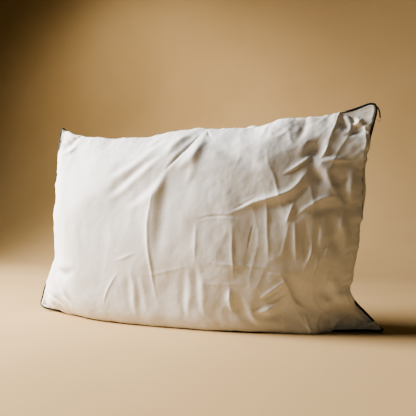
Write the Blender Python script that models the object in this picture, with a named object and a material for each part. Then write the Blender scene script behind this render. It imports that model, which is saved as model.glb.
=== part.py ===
"""Bed pillow standing on its long edge.

Two cotton panels are sewn together round a filling. A folded bias strip holds a thin cord in the
seam, as piping. X runs along the pillow, the front panel faces -Y, and the pillow rests on z = 0.
"""

import math

import bpy
import numpy as np

# Driving dimensions, in metres.
REST_LENGTH = 0.750          # sewn size of a flat, empty pillow
REST_HEIGHT = 0.500
THICKNESS = 0.164            # filled, front crown to rear crown
CLOTH = 0.0007               # percale, drawn thick enough to be a solid
MITRE_LIMIT = 0.5            # keeps the cloth's inner face from running away where it bends sharply
SEAM_ALLOWANCE = 0.009       # cloth turned in behind the seam
CLIPPED_ALLOWANCE = 0.0035   # what is left of it where the ears are clipped
CLIP_REACH = 0.045           # the clipping fades out this far from an ear's tip
CORNER_ROUND = 0.022         # rounding of the sewn corners
TIGHT_TURN = 0.7             # share of an ear's own radius that a line may be set in from its tip
SEAM_ROLL = 0.0034           # height of the soft roll along the seam
SEAM_ROLL_REACH = 0.0030
SEAM_LIFT = 0.0055           # height of the seam line over the floor, piping below it
GROOVE_HALF_WIDTH = 0.0085   # the cloth comes up off the floor to reach the piping
BEAD_CENTRE = 0.0029         # piping bead, measured outwards from the seam line
BEAD_RADIUS = 0.0020
BEAD_HOLLOW = 0.0015
FILLER_CORD_RADIUS = 0.0011
FLANGE_LENGTH = 0.0080
FLANGE_CLIPPED = 0.0030
FLANGE_HALF = (0.00015, 0.0006)      # inner and outer face of each leg of the folded strip
ALLOWANCE_HALF = (0.0009, 0.0016)    # faces of the turned-in cloth, either side of the flange
RIM_HALF = 0.0023            # where the outer face of a panel meets the seam
FOLD_REACH = 0.0005
GAP = 0.0003                 # between neighbouring pieces that touch on the real pillow
THREAD_RADIUS = 0.00025
STITCH_INSET = 0.0030
CLOSING_INSET = 0.0062
CLOSING_SPAN = (0.13, 0.28)  # heights between which the filling went in, on the left end
FILLING_INSET = 0.022
FILLING_FLOOR = 0.0185
FILLING_CLEARANCE = 0.0035
FILLING_EDGE_POWER = 0.12    # thins the filling's rim, where the panels come together
LABEL_WIDTH = 0.030
LABEL_LENGTH = 0.042
LABEL_THICKNESS = 0.0006
LABEL_CLEARANCE = 0.0012
LABEL_START = (0.002, 0.36)  # shares of the panel's length and height where the label comes out

# Crown of the filled panels.
CROWN_POWER_X = 3.2
CROWN_POWER_Z = 2.6
CROWN_BLUNTNESS_X = 0.55
CROWN_BLUNTNESS_Z = 0.52
CROWN_SAG = 0.12             # the filling settles below the middle

COLUMNS, ROWS = 20, 14
SPACING_POWER = 2.1
FILLING_COLUMNS, FILLING_ROWS = 14, 10

# The seam line of the filled pillow, one side after another, from ear to ear. (x, z)
SEAM_BOTTOM = [(-0.380, 0.006), (-0.330, -0.002), (-0.200, -0.026), (0.000, -0.031), (0.200, -0.026),
               (0.310, -0.004), (0.380, 0.006)]
SEAM_RIGHT = [(0.380, 0.006), (0.345, 0.040), (0.316, 0.076), (0.322, 0.115), (0.336, 0.200),
              (0.337, 0.270), (0.340, 0.325), (0.356, 0.380), (0.366, 0.434)]
SEAM_TOP = [(-0.320, 0.424), (-0.275, 0.402), (-0.225, 0.394), (-0.115, 0.381), (-0.030, 0.392),
            (0.080, 0.391), (0.200, 0.397), (0.300, 0.411), (0.366, 0.434)]
SEAM_LEFT = [(-0.380, 0.006), (-0.370, 0.045), (-0.346, 0.098), (-0.334, 0.145), (-0.337, 0.232),
             (-0.337, 0.307), (-0.333, 0.360), (-0.320, 0.424)]

# Loose ends at the upper right ear: the tail from the piping's outer face, the loop from the tail's tip.
TAIL_ROUTE = [(0.0013, 0, 0.0013), (0.0050, -0.001, -0.0050), (0.0070, -0.002, -0.0130),
              (0.0084, -0.002, -0.0210), (0.0090, -0.003, -0.0270)]
TAIL_RADIUS = 0.0010
LOOP_ROUTE = [(0, 0, -0.0008), (0.0008, 0, -0.0036), (-0.0010, -0.0005, -0.0062),
              (-0.0036, -0.001, -0.0048), (-0.0046, -0.001, -0.0020)]
LOOP_RADIUS = 0.0004

COTTON = (0.80, 0.78, 0.75, 1)
PIPING_GREEN = (0.020, 0.026, 0.022, 1)
FIBRE_WHITE = (0.85, 0.84, 0.80, 1)
THREAD_WHITE = (0.78, 0.76, 0.72, 1)
THREAD_RED = (0.32, 0.11, 0.06, 1)


def clear_scene():
    for item in list(bpy.data.objects):
        bpy.data.objects.remove(item)


def cloth_material(name, colour, roughness):
    material = bpy.data.materials.new(name)
    material.use_nodes = True
    shader = material.node_tree.nodes["Principled BSDF"]
    shader.inputs["Base Color"].default_value = colour
    shader.inputs["Roughness"].default_value = roughness
    shader.inputs["Metallic"].default_value = 0.0
    return material


def mesh_object(name, points, faces, material):
    mesh = bpy.data.meshes.new(name)
    mesh.from_pydata([tuple(map(float, p)) for p in points], [], faces)
    mesh.validate()
    mesh.shade_smooth()
    mesh.set_sharp_from_angle(angle=math.radians(40))
    mesh.materials.append(material)
    item = bpy.data.objects.new(name, mesh)
    bpy.context.scene.collection.objects.link(item)
    return item


def smooth_curve(points, samples=200):
    """A Catmull-Rom curve through the points, sampled evenly by length."""
    knots = np.array(points, float)
    padded = np.vstack([2 * knots[0] - knots[1], knots, 2 * knots[-1] - knots[-2]])
    pieces = []
    t = np.linspace(0, 1, 24, endpoint=False)[:, None]
    for a, b, c, d in zip(padded[:-3], padded[1:-2], padded[2:-1], padded[3:]):
        pieces.append(0.5 * (2 * b + (c - a) * t + (2 * a - 5 * b + 4 * c - d) * t ** 2
                             + (3 * b - a - 3 * c + d) * t ** 3))
    line = np.vstack(pieces + [knots[-1:]])
    length = np.concatenate([[0], np.cumsum(np.linalg.norm(np.diff(line, axis=0), axis=1))])
    even = np.linspace(0, length[-1], samples)
    return np.stack([np.interp(even, length, line[:, k]) for k in range(line.shape[1])], axis=1)


def along(curve, share):
    """The point at this share of a sampled curve's length."""
    steps = np.linspace(0, 1, len(curve))
    return np.stack([np.interp(share, steps, curve[:, k]) for k in range(curve.shape[1])], axis=-1)


SIDES = {name: smooth_curve(points) for name, points in (
    ("bottom", SEAM_BOTTOM), ("right", SEAM_RIGHT), ("top", SEAM_TOP), ("left", SEAM_LEFT))}


def rounded(u, v):
    """Shares of the flat panel's length and height, with its square corners made round."""
    x, z = (2 * u - 1) * REST_LENGTH / 2, (2 * v - 1) * REST_HEIGHT / 2
    inner_x, inner_z = REST_LENGTH / 2 - CORNER_ROUND, REST_HEIGHT / 2 - CORNER_ROUND
    a = np.clip((np.abs(x) - inner_x) / CORNER_ROUND, 0, 1)
    b = np.clip((np.abs(z) - inner_z) / CORNER_ROUND, 0, 1)
    across = np.where(a > 0, inner_x + CORNER_ROUND * a * np.sqrt(1 - b ** 2 / 2), np.abs(x))
    up = np.where(b > 0, inner_z + CORNER_ROUND * b * np.sqrt(1 - a ** 2 / 2), np.abs(z))
    return (0.5 + np.sign(x) * across / REST_LENGTH, 0.5 + np.sign(z) * up / REST_HEIGHT)


def seam_plane(u, v):
    """Where a point of the flat panel lies in the plane of the seam once the pillow is filled."""
    u, v = rounded(u, v)
    bottom, top = along(SIDES["bottom"], u), along(SIDES["top"], u)
    left, right = along(SIDES["left"], v), along(SIDES["right"], v)
    u, v = u[..., None], v[..., None]
    corners = ((1 - u) * (1 - v) * SIDES["bottom"][0] + u * (1 - v) * SIDES["bottom"][-1]
               + (1 - u) * v * SIDES["top"][0] + u * v * SIDES["top"][-1])
    return (1 - v) * bottom + v * top + (1 - u) * left + u * right - corners


def crown(u, v):
    """Share of the full half thickness at a point of the panel: 0 on the seam, 1 at the middle."""
    s = np.clip(np.abs(2 * u - 1), 0, 1)
    t = 2 * v - 1
    t = np.clip(np.abs(t + CROWN_SAG * (1 - t ** 2)), 0, 1)
    return ((1 - s ** CROWN_POWER_X) ** CROWN_BLUNTNESS_X
            * (1 - t ** CROWN_POWER_Z) ** CROWN_BLUNTNESS_Z)


def seam_roll(u, v):
    inset = np.minimum(np.minimum(u, 1 - u) * REST_LENGTH, np.minimum(v, 1 - v) * REST_HEIGHT)
    return SEAM_ROLL * (1 - np.exp(-inset / SEAM_ROLL_REACH))


def floor_height(distance):
    """The lowest a panel may come at this distance from the seam plane: a groove over the piping."""
    share = np.clip(distance / GROOVE_HALF_WIDTH, 0, 1)
    return SEAM_LIFT * (1 - share) ** 2 * (1 + 2 * share)


def panel_surface(u, v, side):
    """Outer face of a panel. side is -1 for the front, 1 for the rear."""
    flat = seam_plane(u, v)
    half = THICKNESS / 2 - RIM_HALF - SEAM_ROLL
    depth = RIM_HALF + seam_roll(u, v) + half * crown(u, v)
    height = np.maximum(flat[..., 1], floor_height(depth - RIM_HALF))
    return np.stack([flat[..., 0], side * depth, height], axis=-1)


def shares(count):
    """Grid lines over one direction, closer together towards the seams."""
    half = 0.5 * (np.arange(count // 2 + 1) / (count // 2)) ** SPACING_POWER
    return np.concatenate([half, 1 - half[-2::-1]])


def grid_shares(columns, rows):
    return np.meshgrid(shares(columns), shares(rows), indexing="ij")


def surface_normals(points, side):
    across = np.gradient(points, axis=0)
    up = np.gradient(points, axis=1)
    normal = np.cross(across, up) * -side
    return normal / np.maximum(np.linalg.norm(normal, axis=-1, keepdims=True), 1e-12)


def border_index(columns, rows):
    """Grid indices round the edge, once, starting at the lower left corner and going right."""
    along_bottom = [(i, 0) for i in range(columns)]
    up_right = [(columns, j) for j in range(rows)]
    along_top = [(i, rows) for i in range(columns, 0, -1)]
    down_left = [(0, j) for j in range(rows, 0, -1)]
    return along_bottom + up_right + along_top + down_left


def grid_faces(columns, rows, start, flip):
    """Triangles over a grid, cut along the diagonals that run out towards the nearest corner."""
    faces = []
    for i in range(columns):
        for j in range(rows):
            a = start + i * (rows + 1) + j
            b, c, d = a + rows + 1, a + rows + 2, a + 1
            to_corner = (i < columns / 2) == (j < rows / 2)
            pair = [(a, b, c), (a, c, d)] if to_corner else [(a, b, d), (b, c, d)]
            faces += [face[::-1] for face in pair] if flip else pair
    return faces


def band_faces(first, second, flip):
    """Triangles between two closed rings of vertex numbers."""
    faces = []
    for k in range(len(first)):
        n = (k + 1) % len(first)
        pair = [(first[k], first[n], second[n]), (first[k], second[n], second[k])]
        faces += [face[::-1] for face in pair] if flip else pair
    return faces


def thickened(points, faces, thickness):
    """The points moved in along their faces' mean normal, far enough to clear each of them."""
    points, faces = points.reshape(-1, 3), np.array(faces)
    normals = np.cross(points[faces[:, 1]] - points[faces[:, 0]], points[faces[:, 2]] - points[faces[:, 0]])
    normals /= np.maximum(np.linalg.norm(normals, axis=1, keepdims=True), 1e-15)
    mean = np.zeros_like(points)
    for k in range(3):
        np.add.at(mean, faces[:, k], normals)
    mean /= np.maximum(np.linalg.norm(mean, axis=1, keepdims=True), 1e-15)
    closest = np.ones(len(points))
    for k in range(3):
        np.minimum.at(closest, faces[:, k], np.sum(mean[faces[:, k]] * normals, axis=1))
    return points - mean * (thickness / np.maximum(closest, MITRE_LIMIT))[:, None]


class Seam:
    """The seam line as a closed ring in the plane y = 0, with its outward direction."""

    def __init__(self, columns, rows):
        u, v = grid_shares(columns, rows)
        edge = border_index(columns, rows)
        flat = seam_plane(u, v)
        ring = np.array([flat[i, j] for i, j in edge])
        ring[:, 1] = np.maximum(ring[:, 1], SEAM_LIFT)
        tangent = np.roll(ring, -1, axis=0) - np.roll(ring, 1, axis=0)
        tangent /= np.linalg.norm(tangent, axis=1, keepdims=True)
        self.points = ring
        self.outward = np.stack([tangent[:, 1], -tangent[:, 0]], axis=1)
        self.room = self.inward_room(tangent)
        tips = [np.array(SIDES[name][end]) for name in ("bottom", "top") for end in (0, -1)]
        self.to_ear = np.min([np.linalg.norm(ring - tip, axis=1) for tip in tips], axis=0)

    def inward_room(self, tangent):
        """How far each point can go inwards before the ring would cross itself round an ear."""
        turn = np.sum((np.roll(self.outward, -1, axis=0) - self.outward) * tangent, axis=1)
        length = np.linalg.norm(np.roll(self.points, -1, axis=0) - self.points, axis=1)
        room = TIGHT_TURN * length / np.maximum(turn, 1e-6)
        return np.minimum(room, np.roll(room, 1))

    def at(self, offset, depth, beside=0):
        """The ring moved outwards by offset (a number, or one for each point), at y = depth."""
        moved = np.maximum(offset, -self.room) + beside
        moved = self.points + self.outward * np.reshape(moved, (-1, 1))
        return np.stack([moved[:, 0], np.full(len(moved), depth), moved[:, 1]], axis=1)

    def clipped(self, full, at_ear):
        """A width that narrows towards the ears, as an allowance does where it is clipped."""
        share = np.clip(self.to_ear / CLIP_REACH, 0, 1)
        return at_ear + (full - at_ear) * share * share * (3 - 2 * share)


def panel(name, side, seam):
    """One cloth panel: its crowned face, folded at the seam, with the allowance turned in."""
    u, v = grid_shares(COLUMNS, ROWS)
    outer = panel_surface(u, v, side)
    flip = side > 0
    outer_faces = grid_faces(COLUMNS, ROWS, 0, flip)
    inner = thickened(outer, outer_faces, CLOTH).reshape(outer.shape)
    lowest = floor_height(np.abs(inner[..., 1]) - RIM_HALF) + CLOTH
    inner[..., 2] = np.maximum(inner[..., 2], lowest)
    edge = border_index(COLUMNS, ROWS)
    rim_out, rim_in = seam.at(0, side * RIM_HALF), seam.at(-GAP, side * ALLOWANCE_HALF[1])
    for k, (i, j) in enumerate(edge):
        outer[i, j], inner[i, j] = rim_out[k], rim_in[k]
    width = seam.clipped(SEAM_ALLOWANCE, CLIPPED_ALLOWANCE)
    near, far = (side * half for half in ALLOWANCE_HALF)
    rings = [seam.at(FOLD_REACH, side * (RIM_HALF + ALLOWANCE_HALF[0]) / 2), seam.at(0, near),
             seam.at(-width, near), seam.at(-width, far)]
    points = np.vstack([outer.reshape(-1, 3), inner.reshape(-1, 3)] + rings)
    count = (COLUMNS + 1) * (ROWS + 1)
    ring_out = [i * (ROWS + 1) + j for i, j in edge]
    loops = [ring_out]
    loops += [list(range(2 * count + n * len(edge), 2 * count + (n + 1) * len(edge))) for n in range(4)]
    loops.append([count + n for n in ring_out])
    faces = outer_faces + grid_faces(COLUMNS, ROWS, count, not flip)
    for first, second in zip(loops, loops[1:]):
        faces += band_faces(first, second, not flip)
    return mesh_object(name, points, faces, cloth_material(name, COTTON, 0.85))


def swept_ring(name, sections, material):
    """A closed tube: the same section at every point of the seam, joined round."""
    count, sides = len(sections[0]), len(sections)
    points = np.vstack(sections)
    faces = []
    for n in range(sides):
        first = [n * count + k for k in range(count)]
        second = [(n + 1) % sides * count + k for k in range(count)]
        faces += band_faces(first, second, False)
    return mesh_object(name, points, faces, material)


def arc(radius, start, end, steps):
    turns = np.linspace(start, end, steps)
    return [(BEAD_CENTRE + radius * math.cos(a), radius * math.sin(a)) for a in turns]


def piping_strip(seam):
    """The bias strip: a bead round the cord, and two legs that run in between the allowances."""
    inner_half, outer_half = FLANGE_HALF
    opening_out = math.pi - math.asin(outer_half / BEAD_RADIUS)
    opening_in = math.pi - math.asin(inner_half / BEAD_HOLLOW)
    legs = -seam.clipped(FLANGE_LENGTH, FLANGE_CLIPPED)
    outline = [(legs, outer_half)] + arc(BEAD_RADIUS, opening_out, -opening_out, 11)
    outline += [(legs, -outer_half), (legs, -inner_half)]
    outline += arc(BEAD_HOLLOW, -opening_in, opening_in, 9) + [(legs, inner_half)]
    sections = [seam.at(offset, depth) for offset, depth in outline]
    return swept_ring("piping_strip", sections, cloth_material("piping_strip", PIPING_GREEN, 0.7))


def seam_tube(name, seam, offset, depth, radius, sides, colour):
    turns = [-2 * math.pi * n / sides for n in range(sides)]
    sections = [seam.at(offset, depth + radius * math.sin(a), radius * math.cos(a)) for a in turns]
    return swept_ring(name, sections, cloth_material(name, colour, 0.8))


def filling():
    """The fibre filling, one soft lens well inside the panels."""
    u, v = grid_shares(FILLING_COLUMNS, FILLING_ROWS)
    wide = 1 - 2 * FILLING_INSET / REST_LENGTH
    tall = 1 - 2 * FILLING_INSET / REST_HEIGHT
    u, v = 0.5 + (u - 0.5) * wide, 0.5 + (v - 0.5) * tall
    flat = seam_plane(u, v)
    halves = []
    for side in (-1, 1):
        depth = np.abs(panel_surface(u, v, side)[..., 1]) - CLOTH - FILLING_CLEARANCE
        depth *= (crown(u, v) / crown(np.array(0.5), np.array(0.5))) ** FILLING_EDGE_POWER
        points = np.stack([flat[..., 0], side * depth, np.maximum(flat[..., 1], FILLING_FLOOR)], -1)
        halves.append(points.reshape(-1, 3))
    count = len(halves[0])
    edge = [i * (FILLING_ROWS + 1) + j for i, j in border_index(FILLING_COLUMNS, FILLING_ROWS)]
    faces = grid_faces(FILLING_COLUMNS, FILLING_ROWS, 0, False)
    faces += grid_faces(FILLING_COLUMNS, FILLING_ROWS, count, True)
    faces += band_faces(edge, [count + n for n in edge], True)
    return mesh_object("filling", np.vstack(halves), faces, cloth_material("filling", FIBRE_WHITE, 1.0))


def thread_along(name, path, radius, resolution, colour):
    """A round thread or cord along a list of points, as a curve with filled caps."""
    curve = bpy.data.curves.new(name, "CURVE")
    curve.dimensions = "3D"
    curve.bevel_depth = radius
    curve.bevel_resolution = resolution
    curve.use_fill_caps = True
    spline = curve.splines.new("POLY")
    spline.points.add(len(path) - 1)
    for point, place in zip(spline.points, path):
        point.co = (*map(float, place), 1)
    curve.materials.append(cloth_material(name, colour, 0.8))
    item = bpy.data.objects.new(name, curve)
    bpy.context.scene.collection.objects.link(item)
    return item


def closing_thread(seam):
    """The second row of stitching, on the left end, over the gap the filling went in through."""
    line = seam.at(-CLOSING_INSET, ALLOWANCE_HALF[1] + GAP + THREAD_RADIUS)
    left = line[line[:, 0] < -REST_LENGTH * 0.4]
    left = left[np.argsort(left[:, 2])]
    heights = np.linspace(*CLOSING_SPAN, 16)
    path = np.stack([np.interp(heights, left[:, 2], left[:, k]) for k in range(3)], axis=1)
    return thread_along("closing_thread", path, THREAD_RADIUS, 1, THREAD_WHITE)


def care_label():
    """A blank folded tape, caught in the seam low on the left end and lying on the rear panel."""
    along_seam = np.linspace(0, 1, 5)
    reach = np.linspace(0, 1, 9)
    v = LABEL_START[1] + along_seam * LABEL_WIDTH / REST_HEIGHT
    u = LABEL_START[0] + reach ** 1.4 * LABEL_LENGTH / REST_LENGTH
    u, v = np.meshgrid(u, v, indexing="ij")
    face = panel_surface(u, v, 1)
    normal = surface_normals(face, 1)
    under = face + LABEL_CLEARANCE * normal
    over = under + LABEL_THICKNESS * normal
    columns, rows = len(reach) - 1, len(along_seam) - 1
    count = u.size
    edge = [i * (rows + 1) + j for i, j in border_index(columns, rows)]
    faces = grid_faces(columns, rows, 0, False) + grid_faces(columns, rows, count, True)
    faces += band_faces(edge, [count + n for n in edge], True)
    points = np.vstack([under.reshape(-1, 3), over.reshape(-1, 3)])
    return mesh_object("care_label", points, faces, cloth_material("care_label", COTTON, 0.6))


def loose_ends(seam):
    """At the upper right ear, the cut end of the piping hangs free, with a thread at its tip."""
    ear = int(np.argmax(seam.points[:, 0] + seam.points[:, 1]))
    x, z = seam.points[ear] + seam.outward[ear] * (BEAD_CENTRE + BEAD_RADIUS)
    tail = np.array([x, 0, z]) + np.array(TAIL_ROUTE)
    thread_along("piping_tail", smooth_curve(tail, 14), TAIL_RADIUS, 2, PIPING_GREEN)
    loop = tail[-1] + np.array(LOOP_ROUTE)
    thread_along("thread_tail", smooth_curve(loop, 14), LOOP_RADIUS, 1, THREAD_RED)


def build():
    clear_scene()
    seam = Seam(COLUMNS, ROWS)
    panel("front_panel", -1, seam)
    panel("rear_panel", 1, seam)
    filling()
    piping_strip(seam)
    seam_tube("piping_cord", seam, BEAD_CENTRE, 0, FILLER_CORD_RADIUS, 7, FIBRE_WHITE)
    stitch_depth = ALLOWANCE_HALF[1] + GAP + THREAD_RADIUS
    seam_tube("needle_thread", seam, -STITCH_INSET, -stitch_depth, THREAD_RADIUS, 5, THREAD_WHITE)
    seam_tube("bobbin_thread", seam, -STITCH_INSET, stitch_depth, THREAD_RADIUS, 5, THREAD_WHITE)
    closing_thread(seam)
    care_label()
    loose_ends(seam)


build()
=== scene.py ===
"""The looks of the bed pillow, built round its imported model.

The two cotton panels are one sewn case, inflated as cloth, fitted to a seam line near the model's,
set down on the floor and creased. The piping, threads, filling, label and loose ends follow them.
"""

import math

import bpy
import numpy as np
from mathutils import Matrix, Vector


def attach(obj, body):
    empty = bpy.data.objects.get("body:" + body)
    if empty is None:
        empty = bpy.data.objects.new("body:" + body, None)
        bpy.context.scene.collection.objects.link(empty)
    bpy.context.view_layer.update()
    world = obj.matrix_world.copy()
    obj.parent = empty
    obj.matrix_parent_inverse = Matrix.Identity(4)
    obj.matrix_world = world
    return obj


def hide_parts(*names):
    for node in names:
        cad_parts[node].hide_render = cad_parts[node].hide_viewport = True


# In metres. The flat cut is the model's. The pillow is about 18 mm thicker than the model, and the
# seam line runs up to about 10 mm beside the model's.
CUT_LENGTH, CUT_HEIGHT = 0.750, 0.500
THICKNESS = 0.182
CORNER_ROUND = 0.022
# The seam line, as (x, z), left to right and upwards from ear to ear.
SEAMS = {
    "bottom": [(-0.380, 0.006), (-0.330, -0.002), (-0.200, -0.026), (0.000, -0.031), (0.200, -0.026),
               (0.310, -0.004), (0.380, 0.006)],
    "right": [(0.380, 0.006), (0.345, 0.036), (0.312, 0.072), (0.319, 0.115), (0.334, 0.200),
              (0.337, 0.270), (0.340, 0.325), (0.357, 0.380), (0.367, 0.430)],
    "top": [(-0.322, 0.420), (-0.278, 0.399), (-0.225, 0.390), (-0.115, 0.380), (-0.030, 0.392),
            (0.080, 0.391), (0.200, 0.397), (0.300, 0.411), (0.367, 0.430)],
    "left": [(-0.380, 0.006), (-0.368, 0.045), (-0.341, 0.098), (-0.326, 0.145), (-0.327, 0.232),
             (-0.328, 0.307), (-0.329, 0.360), (-0.322, 0.420)]}

# Swell past the seam: amount, the stretch of the side that it covers, and its fade. In metres.
OVERHANGS = {"left": (0.0065, 0.05, 0.55, 0.06), "right": (0.014, 0.06, 0.46, 0.05),
             "top": (0.012, -0.03, 0.715, 0.035)}
OVERHANG_REACH = 0.016
# Ears, the corners that the filling leaves empty: corner as shares of the cut; reach, lean along y
# at the corner and more per metre up, lift; then how thin, and from and to which distance.
EARS = [(0, 0, 0.09, 0.006, 0.0, 0.000, 0.55, 0.030, 0.080),
        (1, 0, 0.12, 0.028, 0.6, -0.008, 0.20, 0.074, 0.120),
        (0, 1, 0.07, 0.008, 0.0, -0.001, 0.85, 0.020, 0.060),
        (1, 1, 0.10, 0.006, 0.0, 0.000, 0.50, 0.035, 0.090)]
# Crown of the filled panels: power and bluntness towards each end, and upright.
CROWN_LEFT, CROWN_RIGHT, CROWN_UPRIGHT = (3.6, 0.54), (1.8, 1.10), (2.5, 0.56)
HALF_SPANS = (0.337, 0.205)
CROWN_SAG = 0.12           # the fullest part is this share of a half height below the middle
CREST_SHIFT = 0.10         # and this share of a half length right of it
EDGE_POWER = 4             # how late towards an edge the crown stops stretching the cloth

# Standing on the floor: how softly the cloth flattens, and how far its seam is held off.
FLOOR_SOFTNESS = 0.0026
SEAM_LIFT, SEAM_LIFT_REACH = 0.0050, 0.012
FLOOR_GAP, CLOTH_FLOOR_GAP = 0.0003, 0.0004

# How much of the simulated cloth's swells, ripples and fine puckers is kept: inside, and at a seam.
SWELL_KEPT = 0.25
RIPPLE_KEPT = (0.22, 0.62)
FINE_KEPT = (0.03, 0.45)
PUCKER_REACH = 0.030
SWELL_SPREAD, RIPPLE_SPREAD = 20, 6        # in cells: what counts as a swell, and as a ripple
SEAM_FIT_SPREAD = 14       # in cells: finer swings of the simulated seam than this are kept

# Small relief: how far creases wander, and (height, spread along, spread up) in metres and cells.
WANDER, WANDER_SPREAD = 0.0022, 9
CRUMPLE = [(0.0013, 16, 16), (0.00055, 4, 12), (0.00028, 4, 4), (0.00006, 1.3, 1.3)]
CALM, BUSY_RIGHT, BUSY_LOW = 0.45, 0.55, 0.25      # shares of it: everywhere, and more at two places
BUSY_FADES = (0.30, 0.55), (0.20, 0.05)            # along and up the cloth
CRAZE = (0.0019, 6, 16)            # a net of sharp creases, mainly over the right half
CRAZE_FADE, CRAZE_EVERYWHERE, CRAZE_SHARPNESS = (0.42, 0.66), 0.12, 3
EAR_CRUMPLE = (0.0022, 0.050, 3)   # the crumple in the ear on the floor: height, reach, spread
# Puckers where the cloth is gathered by the seam: height, fade, and spreads across and along it.
PUCKER_HEIGHT, PUCKER_FADE, PUCKER_SPREADS = 0.0007, 0.020, (2.0, 7)
CALM_AT_SEAM = 0.012               # no relief at the seam itself, and all of it from here inwards
SEAM_HALF = 0.0009                 # each panel lies this far off the plane of the seam
ROOM_USED = 0.6                    # how far in a crease may go, as a share of the way to the middle

# Cloth simulation: a coarse grid, and how many fine cells go in one of its cells. The empty case
# starts a little open and uneven.
COARSE = (94, 63)
EMPTY_DEPTH, EMPTY_SHAKE = 0.030, 0.0008
REFINE = 4
SIM_FRAMES = 46
FILLED_VOLUME = 0.0265
SEED = 11

# Piping, threads, filling and label.
BEAD_CENTRE, BEAD_RADIUS, BEAD_HOLLOW = 0.0022, 0.0021, 0.0016
FILLER_CORD_RADIUS = 0.0013
FLANGE_LENGTH, FLANGE_HALF = 0.0080, (0.00008, 0.00028)
SEAM_ALLOWANCE, TRIMMED_ALLOWANCE = 0.009, 0.0035      # it is trimmed back at the corners
TRIM_FADE = (0.060, 0.110)        # distances from a corner: still trimmed, and full again
TIGHT_TURN = 0.6                   # at a turn it stops this share of the way to the turn's centre
# The fold of a panel at the seam: distance out, and depth towards its own side, ring by ring.
PANEL_FOLD = [(0.0002, 0.0005), (-0.0010, 0.0004), (-SEAM_ALLOWANCE, 0.0004)]
INWARD_CELLS = 22                  # the seam's outward direction comes from this far inside it
THREAD_RADIUS, STITCH_INSET, STITCH_DEPTH = 0.00025, 0.0030, 0.0009
CLOSING_INSET, CLOSING_DEPTH, CLOSING_SPAN = 0.0062, 0.0018, (0.13, 0.28)
CLOSING_POINTS, CLOSING_SWAY = 90, 0.0002
FILLING_CELLS, FILLING_SPAN, FILLING_ROUND, FILLING_INSET = (90, 60), 0.93, 0.32, 0.014
THINNEST_FILLING, FILLING_LUMPS, LUMP_SPREAD = 0.04, 0.05, 1.6     # shares of its depth, and cells
LABEL_WIDTH, LABEL_LENGTH, LABEL_START = 0.030, 0.042, 0.36
LABEL_LIFT, LABEL_CURL, LABEL_WAVE, LABEL_THICK = 0.0022, 0.0045, 0.0008, 0.0006
TAIL_ROUTE = [(-0.0010, 0, 0.0010), (0.0028, -0.001, -0.0036), (0.0050, -0.0015, -0.0100),
              (0.0058, -0.002, -0.0165), (0.0062, -0.002, -0.0220)]
TAIL_RADIUS, TAIL_BELOW = 0.0015, 0.007
LOOP_ROUTE = [(0, 0, -0.0008), (0.0008, 0, -0.0036), (-0.0010, -0.0005, -0.0062),
              (-0.0036, -0.001, -0.0048), (-0.0046, -0.001, -0.0020)]
LOOP_RADIUS = 0.0004

# Camera: lens in millimetres, angles in degrees, distance from its aim point.
LENS, YAW, PITCH, DISTANCE = 43.27, 19.49, 1.19, 1.0304
AIM = (0.0365, 0.0, 0.2151)
# Soft key light from the left: degrees round from the front and up, then distance. A pool of light
# on the paper behind, and a faint cool fill.
KEY_TURN, KEY_CLIMB, KEY_DISTANCE, KEY_BASE = 76, 28, 2.4, 0.2
KEY_TARGET, KEY_SIZE, KEY_SPREAD = (0.25, -0.05, 0.18), 1.1, 110
KEY_POWER, KEY_COLOUR = 64, (1.0, 0.975, 0.95)
POOL_FROM, POOL_AT, POOL_CONE, POOL_SOFT = (-0.9, 0.5, 2.1), (-1.05, 1.9, 0.45), 90, 0.25
POOL_POWER, POOL_COLOUR = 86, (1.0, 0.95, 0.84)
FILL_STRENGTH, FILL_COLOUR = 0.04, (0.70, 0.92, 0.90, 1)
EXPOSURE = 0.12
# Paper sweep: half width, front edge, start and radius of its bend, and top.
SWEEP_HALF, SWEEP_FRONT, SWEEP_BEND, SWEEP_RADIUS, SWEEP_TOP = 4.0, -2.5, 1.0, 0.9, 4.0


def placed(name, data):
    """A new object with this data, in the scene."""
    item = bpy.data.objects.new(name, data)
    bpy.context.scene.collection.objects.link(item)
    return item


def lerp(a, b, share):
    return a + (b - a) * share


def smoothstep(low, high, value):
    share = np.clip((value - low) / (high - low), 0, 1)
    return share * share * (3 - 2 * share)


def unit(vectors):
    return vectors / np.maximum(np.linalg.norm(vectors, axis=-1, keepdims=True), 1e-12)


def catmull_rom(a, b, c, d, t):
    """A smooth curve's place between b and c, with a before them and d after."""
    return 0.5 * (2 * b + (c - a) * t + (2 * a - 5 * b + 4 * c - d) * t ** 2
                  + (3 * b - a - 3 * c + d) * t ** 3)


def lengths_along(line):
    """The length of a line of points up to each of them."""
    return np.concatenate([[0], np.cumsum(np.linalg.norm(np.diff(line, axis=0), axis=1))])


def smooth_curve(points, samples=200):
    """A smooth curve through the points, sampled evenly by length."""
    knots = np.array(points, float)
    padded = np.vstack([2 * knots[0] - knots[1], knots, 2 * knots[-1] - knots[-2]])
    t = np.linspace(0, 1, 24, endpoint=False)[:, None]
    pieces = [catmull_rom(*four, t) for four in zip(padded[:-3], padded[1:-2], padded[2:-1], padded[3:])]
    line = np.vstack(pieces + [knots[-1:]])
    length = lengths_along(line)
    even = np.linspace(0, length[-1], samples)
    return np.stack([np.interp(even, length, line[:, k]) for k in range(line.shape[1])], axis=1)


def along(curve, share):
    """The point at this share of a sampled curve's length."""
    steps = np.linspace(0, 1, len(curve))
    return np.stack([np.interp(share, steps, curve[:, k]) for k in range(curve.shape[1])], axis=-1)


# ------------------------------
# The sewn case


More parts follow.
